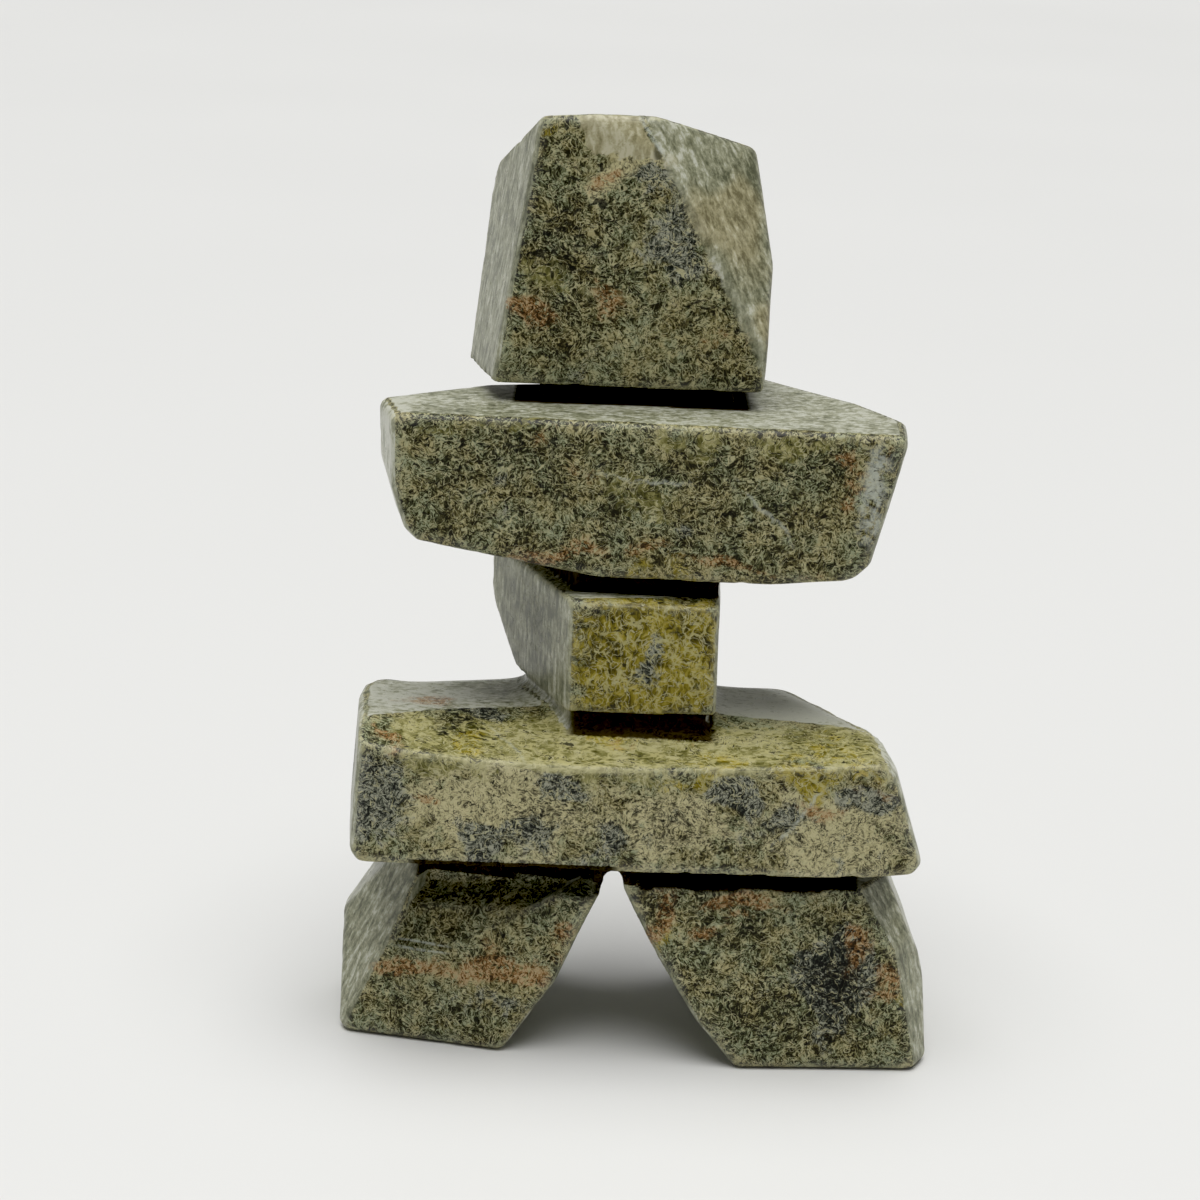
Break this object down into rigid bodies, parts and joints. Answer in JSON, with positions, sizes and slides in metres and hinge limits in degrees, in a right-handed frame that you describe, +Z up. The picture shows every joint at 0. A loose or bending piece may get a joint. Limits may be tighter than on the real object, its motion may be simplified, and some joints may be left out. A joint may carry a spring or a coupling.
{
  "type": "inuit inukshuk sculpture",
  "caption": "Stone figure carved from one block: spread legs, body slab, neck stone, arm slab and head, parted by saw cuts with a core inside each.",
  "frame": {"origin": "on the ground, under the middle of the figure's box", "axes": "+Z up, the front faces -Y, the figure's arms run along X"},
  "size_m": [0.098, 0.0532, 0.1507],
  "materials": {
    "serpentine": "polished green serpentine with cream veins and dark flecks"
  },
  "bodies": {
    "root": {"inukshuk": "serpentine"}
  },
  "joints": []
}
